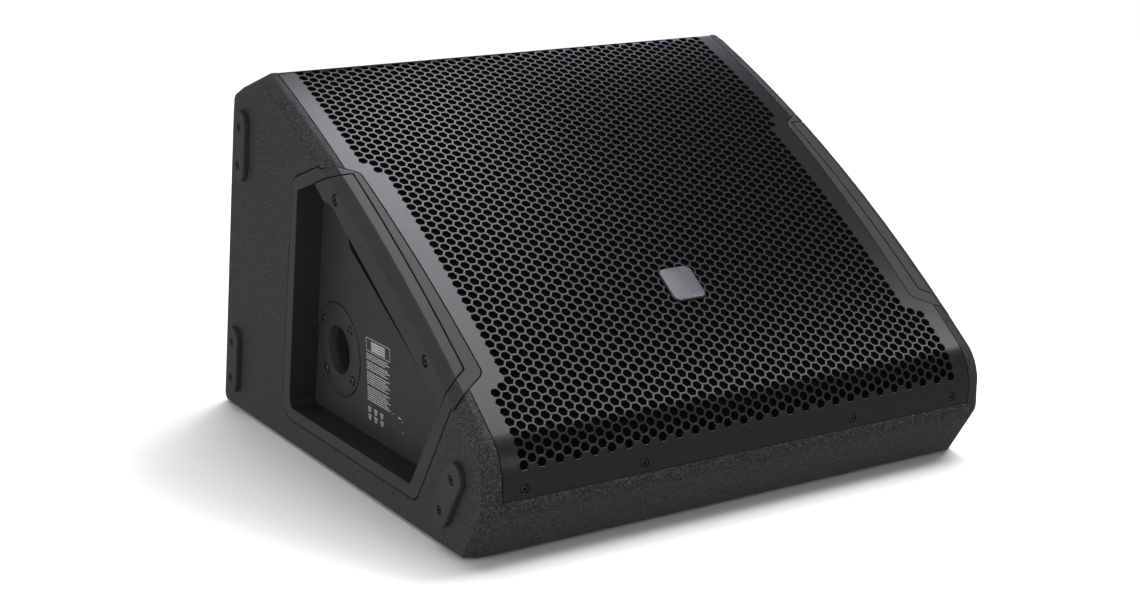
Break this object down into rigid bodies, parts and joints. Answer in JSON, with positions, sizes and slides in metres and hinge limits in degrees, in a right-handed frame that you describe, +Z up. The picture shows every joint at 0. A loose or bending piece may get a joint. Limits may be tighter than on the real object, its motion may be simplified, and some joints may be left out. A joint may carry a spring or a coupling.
{
  "type": "stage monitor wedge",
  "caption": "Active stage monitor wedge with a bowed perforated steel grille, a coaxial driver, grip bars in side recesses and a pole socket.",
  "frame": {"origin": "on the floor, under the middle of the cabinet's bounding box", "axes": "+Z up, -Y towards the listener (the nose), +X to the listener's right hand side when facing the grille from behind it"},
  "size_m": [0.4884, 0.496, 0.3185],
  "materials": {
    "painted_wood": "fine speckled textured coating, near black",
    "plywood": "raw plywood",
    "black_steel": "satin black powder coat",
    "foam": "open-cell acoustic foam",
    "moulded_plastic": "satin fine grain",
    "rubber": "matte",
    "black_screw": "black zinc, semi-gloss",
    "steel": "plated",
    "cast_frame": "black coat, semi-matte",
    "ferrite": "ceramic magnet and laminations",
    "paper": "pressed paper, coated",
    "cloth": "impregnated woven cloth",
    "copper": "enamelled copper wire",
    "aluminium": "brushed and anodised",
    "circuit_board": "solder mask",
    "cable": "PVC sheath",
    "lens": "translucent"
  },
  "bodies": {
    "cabinet": {"left_side_panel": "painted_wood", "right_side_panel": "painted_wood", "back_panel": "painted_wood", "bottom_panel": "painted_wood", "top_rail": "painted_wood", "nose_rail": "painted_wood", "baffle": "plywood", "grille": "black_steel", "amp_plate": "black_steel", "grille_foam": "foam", "damping_pad": "foam", "badge": "moulded_plastic", "hf_horn": "moulded_plastic", "port_tube_left": "moulded_plastic", "port_tube_right": "moulded_plastic", "left_tray": "moulded_plastic", "right_tray": "moulded_plastic", "left_handle": "moulded_plastic", "right_handle": "moulded_plastic", "pole_socket": "moulded_plastic", "mains_inlet": "moulded_plastic", "input_socket": "moulded_plastic", "link_socket": "moulded_plastic", "woofer_surround": "rubber", "side_foot_left_1": "rubber", "side_foot_left_2": "rubber", "side_foot_left_3": "rubber", "side_foot_right_1": "rubber", "side_foot_right_2": "rubber", "side_foot_right_3": "rubber", "base_foot_1": "rubber", "base_foot_2": "rubber", "base_foot_3": "rubber", "base_foot_4": "rubber", "grille_screw_1": "black_screw", "grille_screw_2": "black_screw", "grille_screw_3": "black_screw", "grille_screw_4": "black_screw", "left_handle_screw_1": "black_screw", "left_handle_screw_2": "black_screw", "right_handle_screw_1": "black_screw", "right_handle_screw_2": "black_screw", "top_plate": "steel", "pole_piece": "steel", "woofer_basket": "cast_frame", "hf_driver": "cast_frame", "magnet": "ferrite", "transformer": "ferrite", "spider": "cloth", "heatsink": "aluminium", "amp_board": "circuit_board", "woofer_lead": "cable", "hf_lead": "cable", "status_led": "lens"},
    "cone": {"woofer_cone": "paper", "voice_coil": "copper"},
    "knob": {"level_knob": "rubber"},
    "button": {"mode_button": "moulded_plastic"},
    "rocker": {"power_rocker": "moulded_plastic"},
    "latch": {"input_latch": "steel"}
  },
  "joints": [
    {"name": "woofer_travel", "type": "slide", "parent": "cabinet", "child": "cone", "axis": [0, -0.5167, 0.8561], "range_m": [-0.006, 0.006], "stiffness_N_per_m": 4000, "deforming": ["woofer_surround", "spider"]},
    {"name": "level_turn", "type": "hinge", "parent": "cabinet", "child": "knob", "pos_m": [0.2171, -0.026, 0.116], "axis": [1, 0, 0], "range_deg": [0, 300]},
    {"name": "mode_press", "type": "slide", "parent": "cabinet", "child": "button", "axis": [-1, 0, 0], "range_m": [0, 0.002], "stiffness_N_per_m": 400},
    {"name": "power_rock", "type": "hinge", "parent": "cabinet", "child": "rocker", "pos_m": [0.2171, 0.022, 0.072], "axis": [0, 0, 1], "range_deg": [0, 21]},
    {"name": "latch_press", "type": "slide", "parent": "cabinet", "child": "latch", "axis": [-1, 0, 0], "range_m": [0, 0.0015], "stiffness_N_per_m": 500}
  ]
}
